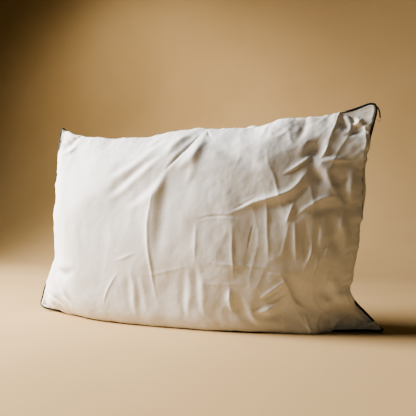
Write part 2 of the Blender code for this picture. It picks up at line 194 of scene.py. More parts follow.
def flat_cut(u, v):
    """The flat panel with its corners rounded, centred on the origin."""
    x, z = (2 * u - 1) * CUT_LENGTH / 2, (2 * v - 1) * CUT_HEIGHT / 2
    inner_x, inner_z = CUT_LENGTH / 2 - CORNER_ROUND, CUT_HEIGHT / 2 - CORNER_ROUND
    a = np.clip((np.abs(x) - inner_x) / CORNER_ROUND, 0, 1)
    b = np.clip((np.abs(z) - inner_z) / CORNER_ROUND, 0, 1)
    across = np.where(a > 0, inner_x + CORNER_ROUND * a * np.sqrt(1 - b ** 2 / 2), np.abs(x))
    up = np.where(b > 0, inner_z + CORNER_ROUND * b * np.sqrt(1 - a ** 2 / 2), np.abs(z))
    return np.sign(x) * across, np.sign(z) * up


def grid_shares(columns, rows):
    return np.meshgrid(np.linspace(0, 1, columns + 1), np.linspace(0, 1, rows + 1), indexing="ij")


def cloth_places(grid):
    u, v = grid_shares(grid.shape[1] - 1, grid.shape[2] - 1)
    return u * CUT_LENGTH, v * CUT_HEIGHT


def seam_inset(grid):
    """How far each place of the cloth is from the nearest side of its cut."""
    x, z = cloth_places(grid)
    return np.minimum(np.minimum(x, CUT_LENGTH - x), np.minimum(z, CUT_HEIGHT - z))


def border_index(columns, rows):
    """Grid indices round the edge, once, starting at the lower left corner and going right."""
    along_bottom = [(i, 0) for i in range(columns)]
    up_right = [(columns, j) for j in range(rows)]
    along_top = [(i, rows) for i in range(columns, 0, -1)]
    down_left = [(0, j) for j in range(rows, 0, -1)]
    return along_bottom + up_right + along_top + down_left


def sewn_numbers(columns, rows):
    """Vertex numbers of both panels' grids, with the seam's vertices shared."""
    count = (columns + 1) * (rows + 1)
    front = np.arange(count).reshape(columns + 1, rows + 1)
    inner = np.arange((columns - 1) * (rows - 1)).reshape(columns - 1, rows - 1)
    rear = front.copy()
    rear[1:-1, 1:-1] = count + inner
    return front, rear


def quads(numbers, flip):
    a, b = numbers[:-1, :-1].ravel(), numbers[1:, :-1].ravel()
    c, d = numbers[1:, 1:].ravel(), numbers[:-1, 1:].ravel()
    return np.stack([a, d, c, b] if flip else [a, b, c, d], axis=1)


def sewn_body(front, rear):
    """Points and faces of a closed body, from two grids of points that meet at their edges."""
    front_numbers, rear_numbers = sewn_numbers(front.shape[0] - 1, front.shape[1] - 1)
    points = np.zeros((rear_numbers.max() + 1, 3))
    points[rear_numbers.ravel()] = rear.reshape(-1, 3)
    points[front_numbers.ravel()] = front.reshape(-1, 3)
    return points, np.vstack([quads(front_numbers, False), quads(rear_numbers, True)])


def start_shape():
    """The empty case, a little open so that it can fill. [side, i, j, xyz]"""
    u, v = grid_shares(*COARSE)
    x, z = flat_cut(u, v)
    swell = (1 - np.abs(2 * u - 1) ** 3) * (1 - np.abs(2 * v - 1) ** 3)
    shake = np.random.default_rng(SEED)
    sides = []
    for side in (-1, 1):
        depth = EMPTY_DEPTH * swell + EMPTY_SHAKE * shake.standard_normal(u.shape) * (swell > 0)
        sides.append(np.stack([x, side * depth, z], axis=-1))
    return np.array(sides)


def inflate(case):
    """Blender's cloth fills the sewn case to its volume. Returns the same grids, filled."""
    points, faces = sewn_body(case[0], case[1])
    mesh = bpy.data.meshes.new("case")
    mesh.from_pydata(points.tolist(), [], faces.tolist())
    item = placed("case", mesh)
    cloth = item.modifiers.new("Cloth", "CLOTH")
    fabric = cloth.settings
    fabric.quality = 6
    fabric.mass = 0.15
    fabric.tension_stiffness = fabric.compression_stiffness = 40
    fabric.shear_stiffness = 12
    fabric.bending_stiffness = 0.3
    fabric.air_damping = 2
    fabric.use_pressure = fabric.use_pressure_volume = True
    fabric.uniform_pressure_force = 0
    fabric.pressure_factor = 20
    fabric.target_volume = FILLED_VOLUME
    fabric.effector_weights.gravity = 0
    cloth.point_cache.frame_end = SIM_FRAMES
    scene = bpy.context.scene
    for frame_number in range(1, SIM_FRAMES + 1):
        scene.frame_set(frame_number)
    filled = item.evaluated_get(bpy.context.evaluated_depsgraph_get()).data
    found = np.zeros(len(points) * 3, np.float32)
    filled.vertices.foreach_get("co", found)
    found = found.reshape(-1, 3).astype(float)
    bpy.data.objects.remove(item)
    scene.frame_set(1)
    return np.array([found[numbers] for numbers in sewn_numbers(*COARSE)])


def refined(grid, times):
    """A grid of points with this many cells for each one, on a smooth curve through them."""
    for axis in (1, 2):
        cells = grid.shape[axis] - 1
        moved = np.moveaxis(grid, axis, 0)
        padded = np.concatenate([[2 * moved[0] - moved[1]], moved, [2 * moved[-1] - moved[-2]]])
        k = np.arange(cells * times + 1)
        i = np.minimum(k // times, cells - 1)
        t = (k / times - i).reshape((-1,) + (1,) * (moved.ndim - 1))
        fine = catmull_rom(padded[i], padded[i + 1], padded[i + 2], padded[i + 3], t)
        grid = np.moveaxis(fine, 0, axis)
    return grid


def bell(spread):
    """Weights of a blur over this many neighbours."""
    steps = np.arange(-int(3 * spread), int(3 * spread) + 1)
    weights = np.exp(-0.5 * (steps / spread) ** 2)
    return weights / weights.sum()


def blurred(values, spread, axis=0):
    """Values with their ripples taken out along one axis. The two ends stay put."""
    weights = bell(spread)
    reach = len(weights) // 2
    moved = np.moveaxis(values, axis, 0)
    before = 2 * moved[:1] - moved[reach:0:-1]
    after = 2 * moved[-1:] - moved[-2:-reach - 2:-1]
    padded = np.concatenate([before, moved, after])
    soft = sum(w * padded[k:k + len(moved)] for k, w in enumerate(weights))
    return np.moveaxis(soft, 0, axis)


def low_pass(grid, spread_x, spread_z=None):
    """The grids with their ripples taken out, over this many cells."""
    return blurred(blurred(grid, spread_x, 1), spread_z or spread_x, 2)


def crown_profile(share, profile):
    """Share of the full depth, from a share of the way from the middle to the seam."""
    power, bluntness = profile
    return (1 - np.clip(np.abs(share), 0, 1) ** power) ** bluntness


def arc_shares(share, profile, half):
    """From a share of a crowned section's length, middle to seam, to the share of its span."""
    span = 1 - np.linspace(1, 0, 3000) ** 4        # closer and closer towards the steep end
    rise = THICKNESS / 2 * crown_profile(span, profile)
    length = lengths_along(np.stack([half * span, rise], axis=1))
    return np.sign(share) * np.interp(np.abs(share), length / length[-1], span)


def coons(u, v, sides, corners):
    """Values all over a panel, from values along its four sides and at its four corners."""
    bottom, right, top, left = sides
    u, v = u[..., None], v[..., None]
    at_corners = ((1 - u) * (1 - v) * corners[0] + u * (1 - v) * corners[1]
                  + (1 - u) * v * corners[2] + u * v * corners[3])
    return (1 - v) * bottom + v * top + (1 - u) * left + u * right - at_corners


def seam_plane(u, v):
    """The place in the plane of the seam at these shares along and up the panel."""
    bottom, right, top, left = (smooth_curve(SEAMS[name]) for name in SEAMS)
    sides = along(bottom, u), along(right, v), along(top, u), along(left, v)
    return coons(u, v, sides, (bottom[0], bottom[-1], top[0], top[-1]))


def model_shape(columns, rows):
    """The broad form that the filling gives the panels, on a grid."""
    x, z = flat_cut(*grid_shares(columns, rows))
    s, t = 2 * x / CUT_LENGTH, 2 * z / CUT_HEIGHT
    rise_x = (1 - np.abs(s) ** EDGE_POWER) ** 0.5
    rise_z = (1 - np.abs(t) ** EDGE_POWER) ** 0.5
    across = np.where(s < 0, arc_shares(s, CROWN_LEFT, HALF_SPANS[0]),
                      arc_shares(s, CROWN_RIGHT, HALF_SPANS[0]))
    s = lerp(s, across, rise_z)
    t = lerp(t, arc_shares(t, CROWN_UPRIGHT, HALF_SPANS[1]), rise_x)
    s_full = s - CREST_SHIFT * (1 - s ** 2)
    lengthwise = np.where(s_full < 0, crown_profile(s_full, CROWN_LEFT), crown_profile(s_full, CROWN_RIGHT))
    crown = lengthwise * crown_profile(t + CROWN_SAG * (1 - t ** 2), CROWN_UPRIGHT)
    flat = seam_plane(0.5 + s / 2, 0.5 + t / 2)
    return np.array([np.stack([flat[..., 0], side * THICKNESS / 2 * crown, flat[..., 1]], axis=-1)
                     for side in (-1, 1)])


def overhang(grid):
    """Between the ears the full panels swell out past the seam, which lies in a valley."""
    x, z = cloth_places(grid)
    ring = {"left": (x, z, -1, 0), "right": (CUT_LENGTH - x, z, 1, 0), "top": (CUT_HEIGHT - z, x, 0, 1)}
    grid = grid.copy()
    for name, (inset, place, out_x, out_z) in ring.items():
        amount, low, high, fade = OVERHANGS[name]
        swell = inset / OVERHANG_REACH * np.exp(1 - inset / OVERHANG_REACH)
        reach = amount * smoothstep(low, low + fade, place) * smoothstep(0, fade, high - place) * swell
        grid[..., 0] += out_x * reach
        grid[..., 2] += out_z * reach
    return grid


def eared(grid):
    """The empty corners droop: each leans its own way, and the lower ones lie down on the floor."""
    x, z = cloth_places(grid)
    grid = grid.copy()
    for corner_x, corner_z, reach, lean, tilt, lift, thin, near, far in EARS:
        up = np.abs(z - corner_z * CUT_HEIGHT)
        away = np.hypot(x - corner_x * CUT_LENGTH, up)
        share = smoothstep(reach, 0, away)
        flat = lerp(thin, 1, smoothstep(near, far, away))
        grid[..., 1] = grid[..., 1] * flat + (lean + tilt * up) * share
        grid[..., 2] += lift * share
    return grid


def dressed(grid):
    """The broad form, with the simulated case's own swells and its puckers along the seams."""
    form = model_shape(grid.shape[1] - 1, grid.shape[2] - 1)
    grid = grid.copy()
    grid[..., 1] *= THICKNESS / np.ptp(grid[..., 1])
    near_seam = np.exp(-seam_inset(grid) / PUCKER_REACH)[None, ..., None]
    own = grid - form
    broad, mid = low_pass(own, SWELL_SPREAD), low_pass(own, RIPPLE_SPREAD)
    return (form + SWELL_KEPT * broad + lerp(RIPPLE_KEPT[0], RIPPLE_KEPT[1], near_seam) * (mid - broad)
            + lerp(FINE_KEPT[0], FINE_KEPT[1], near_seam) * (own - mid))


def fitted_to_seam(grid):
    """The filled case, moved so that its seam lies along the seam line."""
    found = {"bottom": grid[0, :, 0], "right": grid[0, -1, :], "top": grid[0, :, -1], "left": grid[0, 0, :]}
    moves = []
    for name, line in found.items():
        wanted = along(smooth_curve(SEAMS[name]), np.linspace(0, 1, len(line)))
        moves.append(blurred(wanted - line[:, [0, 2]], SEAM_FIT_SPREAD))
    bottom, right, top, left = moves
    u, v = grid_shares(grid.shape[1] - 1, grid.shape[2] - 1)
    move = coons(u, v, (bottom[:, None], right[None], top[:, None], left[None]),
                 (bottom[0], bottom[-1], top[0], top[-1]))
    grid = grid.copy()
    grid[..., 0] += move[..., 0]
    grid[..., 2] += move[..., 1]
    return grid


def settled(grid):
    """The filled case standing on the floor: flat where it rests, with the seam just off it."""
    grid = grid.copy()
    z = grid[..., 2] / FLOOR_SOFTNESS
    grid[..., 2] = FLOOR_SOFTNESS * np.where(z > 30, z, np.log1p(np.exp(np.minimum(z, 30))))
    grid[..., 2] += SEAM_LIFT * np.exp(-(cloth_places(grid)[1] / SEAM_LIFT_REACH) ** 2)
    return grid


# ------------------------------
# Creases. Places are along and up the flat cut of a panel, from its lower left corner.


def distance_to(route, x, z):
    """For each place: signed distance to a route, and the share of the way along it."""
    line = smooth_curve(route, 48)
    nearest = np.full(x.shape, 1e9)
    side = np.zeros(x.shape)
    share = np.zeros(x.shape)
    for k, (start, end) in enumerate(zip(line[:-1], line[1:])):
        run = end - start
        length = np.linalg.norm(run)
        t = ((x - start[0]) * run[0] + (z - start[1]) * run[1]) / length ** 2
        t = np.clip(t, 0, 1)
        dx, dz = x - start[0] - t * run[0], z - start[1] - t * run[1]
        away = np.hypot(dx, dz)
        closer = away < nearest
        nearest = np.where(closer, away, nearest)
        side = np.where(closer, np.sign(run[0] * dz - run[1] * dx), side)
        share = np.where(closer, (k + t) / (len(line) - 1), share)
    return nearest * side, share


def envelope(share):
    """Full in the middle of a route and dying away to both ends."""
    return smoothstep(0, 0.42, share) * smoothstep(0, 0.42, 1 - share)


def press(s):
    """A sharp crest with soft flanks, as a folded cloth keeps."""
    return np.exp(-np.abs(s) ** 1.25)


def ridge(s):
    return np.exp(-s ** 2)


def fold(s):
    """A lip: raised on one side of the line and sunk on the other."""
    return s * np.exp(0.5 - s ** 2 / 2)


def pinch(s):
    """A sharp valley with soft shoulders."""
    return 0.45 * np.exp(-(s / 2.4) ** 2) - np.exp(-np.abs(s))


# Each crease, in millimetres: shape, height, half width and route.
FRONT_CREASES = [
    # press lines left from when the pillow lay folded
    (press, 2.0, 3.2, [(325, 370), (315, 320), (310, 275), (315, 220), (335, 160), (355, 120)]),
    (fold, -2.2, 13.0, [(345, 385), (330, 320), (325, 265), (325, 210)]),
    (press, 1.3, 2.8, [(390, 235), (445, 217), (490, 210), (565, 202), (655, 182)]),
    (press, 0.8, 2.5, [(520, 196), (580, 190), (640, 178)]),
    (press, 0.8, 2.6, [(285, 190), (350, 194), (415, 212)]),
    (press, 0.7, 2.6, [(420, 172), (475, 175), (530, 171)]),
    (press, 1.2, 2.6, [(222, 211), (260, 224), (290, 233)]),
    (press, 1.4, 2.8, [(225, 115), (228, 160), (248, 200)]),
    (press, 1.9, 3.0, [(585, 196), (622, 155), (660, 94)]),
    (fold, -2.2, 8.5, [(600, 185), (632, 145), (662, 98)]),
    # the tuck at the top seam, and the folds that fan out from it
    (pinch, 6.2, 5.2, [(393, 475), (380, 438), (360, 405), (335, 372)]),
    (ridge, 5.0, 11.0, [(400, 465), (397, 420), (380, 395), (360, 378)]),
    (ridge, 4.8, 12.0, [(375, 472), (350, 445), (330, 405)]),
    (pinch, 3.0, 3.0, [(400, 480), (408, 462), (420, 448)]),
    (ridge, 1.4, 8.5, [(405, 442), (399, 415), (395, 380), (385, 340)]),
    (ridge, -3.0, 13.0, [(415, 440), (455, 421), (500, 398), (555, 370)]),
    (fold, 2.1, 11.0, [(330, 455), (290, 433), (250, 405), (195, 380)]),
    (fold, 2.4, 10.0, [(335, 420), (300, 395), (258, 370), (200, 330)]),
    (fold, 1.6, 9.0, [(345, 395), (325, 352), (288, 327), (250, 315)]),
    (ridge, 2.4, 12.0, [(300, 480), (280, 440), (235, 412)]),
    # the strong fold across the right half, with its dark line
    (press, 5.0, 5.6, [(465, 296), (505, 308), (541, 320), (575, 327), (604, 337), (626, 357), (645, 378)]),
    (ridge, -3.4, 11.0, [(545, 303), (590, 313), (620, 328), (650, 350)]),
    (pinch, 2.6, 2.0, [(400, 287), (440, 293), (480, 296), (530, 297)]),
    (pinch, 2.2, 2.0, [(480, 304), (512, 316), (550, 332)]),
    (press, 3.4, 4.2, [(585, 362), (612, 380), (645, 403)]),
    (pinch, 2.6, 2.6, [(582, 358), (610, 373), (640, 394)]),
    (ridge, -7.0, 19.0, [(618, 428), (640, 412), (668, 402)]),
    (press, 2.8, 3.2, [(658, 386), (664, 400), (668, 420)]),
    (ridge, 3.2, 6.5, [(650, 380), (682, 386), (720, 380)]),
    (ridge, -4.4, 11.0, [(672, 366), (690, 350), (700, 325)]),
    (fold, 3.2, 9.0, [(642, 385), (664, 360), (684, 332)]),
    (press, 3.6, 4.0, [(605, 284), (640, 302), (668, 313), (705, 311)]),
    (ridge, -3.6, 11.0, [(640, 282), (670, 294), (705, 292)]),
    (press, 2.6, 3.4, [(594, 272), (602, 292), (612, 318)]),
    # upright pleats, right of the middle
    (press, 1.2, 4.0, [(415, 290), (415, 250), (417, 210)]),
    (press, 1.6, 3.4, [(485, 290), (489, 236), (503, 175)]),
    (pinch, 2.0, 2.4, [(533, 288), (526, 262), (520, 230)]),
    (press, 1.8, 5.0, [(556, 345), (559, 294), (566, 200)]),
    (press, 2.4, 4.5, [(612, 285), (614, 245), (620, 200)]),
    (ridge, -2.8, 6.0, [(632, 280), (634, 240), (640, 195)]),
    (ridge, -3.0, 6.0, [(655, 275), (656, 235), (662, 200)]),
    (press, 2.2, 3.0, [(650, 240), (648, 215), (644, 195)]),
    (press, 3.2, 3.0, [(660, 225), (665, 190), (658, 148)]),
    (press, 2.6, 2.8, [(686, 228), (676, 208), (665, 192)]),
    (fold, 4.0, 9.0, [(690, 285), (698, 245), (710, 200)]),
    (fold, 3.6, 8.0, [(715, 365), (712, 330), (718, 290)]),
    (fold, 3.8, 8.0, [(695, 160), (712, 125), (718, 90)]),
    # low down, where the filling has settled
    (press, 4.2, 5.0, [(494, 172), (502, 148), (517, 118)]),
    (ridge, 5.8, 7.0, [(548, 118), (575, 118), (600, 128), (634, 148)]),
    (ridge, -4.6, 9.0, [(560, 100), (595, 105), (630, 122)]),
    (fold, 2.6, 5.0, [(560, 140), (590, 156), (618, 172)]),
    (press, 3.0, 3.6, [(648, 96), (640, 68), (628, 36)]),
    (fold, 2.0, 9.0, [(520, 150), (540, 120), (556, 80)]),
    (fold, 1.1, 7.0, [(268, 205), (280, 158), (300, 95)]),
    (fold, 0.9, 7.0, [(290, 195), (303, 155), (326, 105)]),
    (fold, 1.2, 7.0, [(396, 215), (404, 168), (422, 100)]),
    (fold, 1.0, 7.0, [(418, 215), (433, 165), (460, 105)]),
    # the lower right ear: a tongue with a crumpled tip, and the hollow above it
    (ridge, 9.0, 34.0, [(540, 20), (600, 26), (635, 50), (670, 105)]),
    (pinch, 7.5, 6.0, [(636, 8), (648, 40), (668, 66), (696, 84), (724, 92)]),
    (ridge, 8.5, 6.5, [(660, 12), (680, 42), (704, 62), (742, 66)]),
    (pinch, 5.5, 4.2, [(684, 18), (700, 42), (722, 52), (744, 50)]),
    (press, 6.0, 4.0, [(700, 10), (714, 30), (744, 38)]),
    (press, 4.6, 3.4, [(722, 62), (727, 38), (735, 12)]),
    (ridge, -4.5, 4.5, [(712, 10), (726, 24), (746, 24)]),
    # round the ears
    (fold, 4.6, 8.0, [(10, 66), (50, 78), (110, 68)]),
    (fold, 3.0, 8.0, [(50, 134), (95, 112), (140, 86)]),
    (fold, 3.6, 10.0, [(20, 160), (80, 158), (135, 178)]),
    (ridge, -5.5, 8.0, [(12, 448), (40, 450), (62, 470), (72, 497)]),
    (ridge, 3.0, 6.0, [(20, 430), (50, 435), (85, 462)]),
    (ridge, -3.0, 10.0, [(600, 492), (606, 462), (600, 430)]),
    (fold, 4.0, 7.0, [(680, 485), (704, 456), (728, 458)]),
    (fold, 4.4, 6.5, [(700, 490), (716, 462), (742, 440)]),
    (fold, 3.6, 6.0, [(690, 432), (712, 445), (742, 474)]),
]
REAR_CREASES = [
    (press, 1.8, 3.2, [(430, 390), (440, 320), (445, 240), (430, 160), (405, 110)]),
    (press, 1.2, 2.8, [(140, 235), (210, 222), (290, 228), (360, 215)]),
    (fold, 3.6, 10.0, [(360, 470), (340, 420), (300, 370), (240, 330)]),
    (fold, 3.4, 10.0, [(400, 465), (445, 420), (505, 385)]),
    (pinch, 5.0, 5.0, [(385, 478), (380, 440), (375, 400)]),
    (ridge, 5.2, 6.2, [(110, 350), (155, 335), (210, 318), (250, 290)]),
    (ridge, -4.4, 11.0, [(120, 325), (165, 312), (215, 295)]),
    (fold, 4.0, 9.0, [(530, 180), (580, 160), (640, 165)]),
    (press, 3.6, 4.5, [(560, 280), (610, 270), (655, 240)]),
    (fold, 3.2, 8.0, [(220, 190), (240, 150), (250, 105)]),
    (fold, 3.0, 8.0, [(330, 180), (335, 140), (350, 95)]),
    (fold, 3.2, 9.0, [(470, 150), (480, 120), (500, 80)]),
    (fold, 4.0, 8.0, [(20, 70), (65, 85), (120, 80)]),
    (fold, 4.0, 8.0, [(725, 70), (680, 90), (630, 88)]),
    (fold, 4.0, 7.0, [(735, 460), (700, 440), (660, 430)]),
    (fold, 3.6, 7.0, [(25, 450), (60, 435), (110, 440)]),
    (press, 1.6, 4.0, [(600, 390), (590, 340), (600, 300)]),
]


def creased(x, z, creases):
    """Height over the panel, in metres, from a list of creases in millimetres."""
    height = np.zeros(x.shape)
    for shape, size, width, route in creases:
        line, width = np.array(route) / 1000, width / 1000
        near = ((x > line[:, 0].min() - 5 * width) & (x < line[:, 0].max() + 5 * width)
                & (z > line[:, 1].min() - 5 * width) & (z < line[:, 1].max() + 5 * width))
        if near.any():
            away, share = distance_to(line, x[near], z[near])
            strength = envelope(share)
            height[near] += size / 1000 * strength * shape(away / (width * lerp(0.55, 1, strength)))
    return height


def ripples(shape, spread_x, spread_z, shake):
    """Smooth random relief over a panel, of about unit height."""
    rough = shake.standard_normal(shape)
    soft = low_pass(np.array([rough]), spread_x, spread_z)[0]
    return soft / soft.std()


def outward_normals(grid, side):
    across, up = np.gradient(grid, axis=0), np.gradient(grid, axis=1)
    return unit(np.cross(across, up)) * (1 if side == 0 else -1)


def relief(x, z, creases, shake):
    """All the small relief of one panel: its creases, soft pleats and fine crumple."""
    shape = x.shape
    wander_x = WANDER * ripples(shape, WANDER_SPREAD, WANDER_SPREAD, shake)
    wander_z = WANDER * ripples(shape, WANDER_SPREAD, WANDER_SPREAD, shake)
    height = creased(x + wander_x, z + wander_z, creases)
    busy = CALM + BUSY_RIGHT * smoothstep(*BUSY_FADES[0], x) + BUSY_LOW * smoothstep(*BUSY_FADES[1], z)
    for size, spread_x, spread_z in CRUMPLE:
        height += size * busy * ripples(shape, spread_x, spread_z, shake)
    size, spread_x, spread_z = CRAZE
    lines = np.exp(-CRAZE_SHARPNESS * np.abs(ripples(shape, spread_x, spread_z, shake)))
    height += size * (smoothstep(*CRAZE_FADE, x) + CRAZE_EVERYWHERE) * lines
    size, reach, spread = EAR_CRUMPLE
    away = np.hypot(CUT_LENGTH - x, z) / reach
    height += size * np.exp(-away ** 2) * ripples(shape, spread, spread, shake)
    short, long = PUCKER_SPREADS
    by_ends = np.exp(-np.minimum(x, CUT_LENGTH - x) / PUCKER_FADE)
    by_sides = np.exp(-np.minimum(z, CUT_HEIGHT - z) / PUCKER_FADE)
    height += PUCKER_HEIGHT * by_ends * ripples(shape, long, short, shake)
    height += PUCKER_HEIGHT * by_sides * ripples(shape, short, long, shake)
    return height


def crumple(grid):
    """The case with its relief, which never goes right through to the other panel."""
    x, z = cloth_places(grid)
    grid = grid.copy()
    shake = np.random.default_rng(SEED)
    keep_seam = smoothstep(0, CALM_AT_SEAM, seam_inset(grid))
    room = ROOM_USED * np.linalg.norm(grid[1] - grid[0], axis=-1) / 2
    for side, creases in enumerate((FRONT_CREASES, REAR_CREASES)):
        height = np.maximum(relief(x, z, creases, shake) * keep_seam, -room)
        grid[side] += outward_normals(grid[side], side) * height[..., None]
        grid[side, ..., 1] += (side * 2 - 1) * SEAM_HALF
    grid[..., 2] = np.maximum(grid[..., 2], CLOTH_FLOOR_GAP)
    return grid


# ------------------------------
# Pieces


def mesh_piece(name, points, faces, material):
    """One piece of the visual model, in place of the model's node of that name."""
    mesh = bpy.data.meshes.new(name)
    mesh.from_pydata(np.asarray(points).tolist(), [], faces)
    mesh.validate()
    mesh.shade_smooth()
    mesh.materials.append(material)
    item = placed(name + "_cloth", mesh)
    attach(item, "root")
    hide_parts(name)
    return item


def add_uv(item, grid_places):
    layer = item.data.uv_layers.new(name="cloth")
    loops = np.zeros(len(item.data.loops), int)
    item.data.loops.foreach_get("vertex_index", loops)
    layer.data.foreach_set("uv", grid_places[loops].astype(np.float32).ravel())


class Seam:
    """The seam of the finished case as a closed ring, with its directions at every point."""

    def __init__(self, case):
        columns, rows = case.shape[1] - 1, case.shape[2] - 1
        i, j = np.array(border_index(columns, rows)).T
        self.places = np.stack([i, j], axis=1)
        self.points = (case[0, i, j] + case[1, i, j]) / 2
        following, previous = np.roll(self.points, -1, axis=0), np.roll(self.points, 1, axis=0)
        self.run = unit(self.around(following - previous, 2))
        middle = (case[0] + case[1]) / 2
        inner = middle[np.clip(i, INWARD_CELLS, columns - INWARD_CELLS),
                       np.clip(j, INWARD_CELLS, rows - INWARD_CELLS)]
        away = self.around(unit(self.points - inner), 3)
        self.outward = unit(away - self.run * np.sum(away * self.run, axis=1, keepdims=True))
        self.across = np.cross(self.run, self.outward)
        turn = np.sum((np.roll(self.outward, -1, axis=0) - self.outward) * self.run, axis=1)
        length = np.linalg.norm(following - self.points, axis=1)
        room = TIGHT_TURN * length / np.maximum(turn, 1e-4)
        self.room = np.min([np.roll(room, k) for k in range(-3, 4)], axis=0)
        x, z = (place[i, j] for place in cloth_places(case))
        to_corner = np.hypot(np.minimum(x, CUT_LENGTH - x), np.minimum(z, CUT_HEIGHT - z))
        trimmed = lerp(TRIMMED_ALLOWANCE, SEAM_ALLOWANCE, smoothstep(*TRIM_FADE, to_corner))
        self.room = self.around(np.minimum(self.room, trimmed)[:, None], 3)[:, 0]

    @staticmethod
    def around(values, spread):
        """Values on the ring, smoothed over this many neighbours."""
        return sum(w * np.roll(values, k - 3 * spread, axis=0) for k, w in enumerate(bell(spread)))

    def at(self, offset, depth, beside=0.0):
        """The ring moved outwards by offset, as far as there is room, then by beside; and by depth
        towards the rear panel."""
        out = np.maximum(offset, -self.room)[:, None] + beside
        ring = self.points + self.outward * out + self.across * depth
        ring[:, 2] = np.maximum(ring[:, 2], FLOOR_GAP + max(offset, 0) * FLOOR_GAP)
        return ring


def panel_piece(name, case, side, seam, material):
    """One cloth panel, folded over at the seam, with its allowance turned in."""
    columns, rows = case.shape[1] - 1, case.shape[2] - 1
    count = (columns + 1) * (rows + 1)
    numbers = np.arange(count).reshape(columns + 1, rows + 1)
    rings = [seam.at(offset, (side * 2 - 1) * depth) for offset, depth in PANEL_FOLD]
    edge = numbers[seam.places[:, 0], seam.places[:, 1]]
    loops = [edge] + [count + n * len(edge) + np.arange(len(edge)) for n in range(len(rings))]
    faces = [quads(numbers, side == 1)]
    for first, second in zip(loops, loops[1:]):
        band = np.stack([first, second, np.roll(second, -1), np.roll(first, -1)], axis=1)
        faces.append(band[:, ::-1] if side == 1 else band)
    points = np.vstack([case[side].reshape(-1, 3)] + rings)
    item = mesh_piece(name, points, np.vstack(faces).tolist(), material)
    x, z = cloth_places(case)
    flat = np.stack([x, z], axis=-1).reshape(-1, 2)
    add_uv(item, np.vstack([flat] + [flat[edge]] * len(rings)))
    return item


def swept_ring(name, section, seam, material):
    """A closed tube with the same section all along the seam. section is (out, across) pairs."""
    count = len(seam.points)
    rings, faces = [seam.at(*corner) for corner in section], []
    first = np.arange(count)
    following = np.roll(first, -1)
    for n in range(len(section)):
        m = (n + 1) % len(section)
        faces.append(np.stack([n * count + first, n * count + following,
                               m * count + following, m * count + first], axis=1))
    item = mesh_piece(name, np.vstack(rings), np.vstack(faces).tolist(), material)
    length = lengths_along(seam.points)
    around = np.repeat(np.arange(len(section)) / len(section) * 2 * math.pi * BEAD_RADIUS, count)
    add_uv(item, np.stack([np.tile(length, len(section)), around], axis=1))
    return item


def circle(offset, depth, radius, sides):
    """A round section. Its places share one offset and stand out beside it."""
    turns = [-2 * math.pi * n / sides for n in range(sides)]
    return [(offset, depth + radius * math.sin(a), radius * math.cos(a)) for a in turns]


def strip_section():
    """The folded bias strip: a bead round the cord, and two legs that run in between the panels."""
    inner, outer = FLANGE_HALF
    open_out = math.pi - math.asin(outer / BEAD_RADIUS)
    open_in = math.pi - math.asin(inner / BEAD_HOLLOW)
    bead = [(BEAD_CENTRE + BEAD_RADIUS * math.cos(a), BEAD_RADIUS * math.sin(a))
            for a in np.linspace(open_out, -open_out, 17)]
    hollow = [(BEAD_CENTRE + BEAD_HOLLOW * math.cos(a), BEAD_HOLLOW * math.sin(a))
              for a in np.linspace(-open_in, open_in, 13)]
    legs = -FLANGE_LENGTH
    return ([(legs, outer)] + bead + [(legs, -outer), (legs, -inner)] + hollow + [(legs, inner)])


def tube(name, path, radii, sides, material):
    """A round cord along a path, closed at both ends. radii gives its radius along the way."""
    path = np.asarray(path, float)
    run = unit(np.gradient(path, axis=0))
    side = unit(np.cross(run, [0.31, 0.87, 0.38]))
    up = np.cross(side, run)
    turns = np.arange(sides) * 2 * math.pi / sides
    rings = [p + r * (np.cos(turns)[:, None] * a + np.sin(turns)[:, None] * b)
             for p, r, a, b in zip(path, radii, side, up)]
    faces = []
    for k in range(len(path) - 1):
        for n in range(sides):
            m = (n + 1) % sides
            faces.append((k * sides + n, k * sides + m, (k + 1) * sides + m, (k + 1) * sides + n))
    faces += [tuple(range(sides))[::-1], tuple((len(path) - 1) * sides + n for n in range(sides))]
    return mesh_piece(name, np.vstack(rings), faces, material)


def sampled(grid, across, up):
    """Values of a grid between its places; across and up are counted in its cells."""
    i = np.clip(across.astype(int), 0, grid.shape[0] - 2)
    j = np.clip(up.astype(int), 0, grid.shape[1] - 2)
    s, t = (across - i)[..., None], (up - j)[..., None]
    return ((1 - s) * (1 - t) * grid[i, j] + s * (1 - t) * grid[i + 1, j]
            + (1 - s) * t * grid[i, j + 1] + s * t * grid[i + 1, j + 1])


def filling_piece(case, material):
    """The fibre: one soft lumpy body inside the panels, which doesn't reach into the ears."""
    columns, rows = case.shape[1] - 1, case.shape[2] - 1
    s, t = (2 * share - 1 for share in grid_shares(*FILLING_CELLS))
    across = columns / 2 * (1 + FILLING_SPAN * s * np.sqrt(1 - FILLING_ROUND * t ** 2))
    up = rows / 2 * (1 + FILLING_SPAN * t * np.sqrt(1 - FILLING_ROUND * s ** 2))
    calm = low_pass(case, 10)
    front, rear = sampled(calm[0], across, up), sampled(calm[1], across, up)
    middle, half = (front + rear) / 2, (rear - front) / 2
    depth = np.linalg.norm(half, axis=-1, keepdims=True)
    half *= np.maximum(1 - FILLING_INSET / depth, THINNEST_FILLING)
    half[[0, -1]] = half[:, [0, -1]] = 0
    shake = np.random.default_rng(SEED + 1)
    lumps = [FILLING_LUMPS * ripples(s.shape, LUMP_SPREAD, LUMP_SPREAD, shake)[..., None] for _ in range(2)]
    points, faces = sewn_body(middle - half * (1 + lumps[0]), middle + half * (1 + lumps[1]))
    points[:, 2] = np.maximum(points[:, 2], FILLING_INSET / 2)
    item = mesh_piece("filling", points, faces.tolist(), material)
    return item


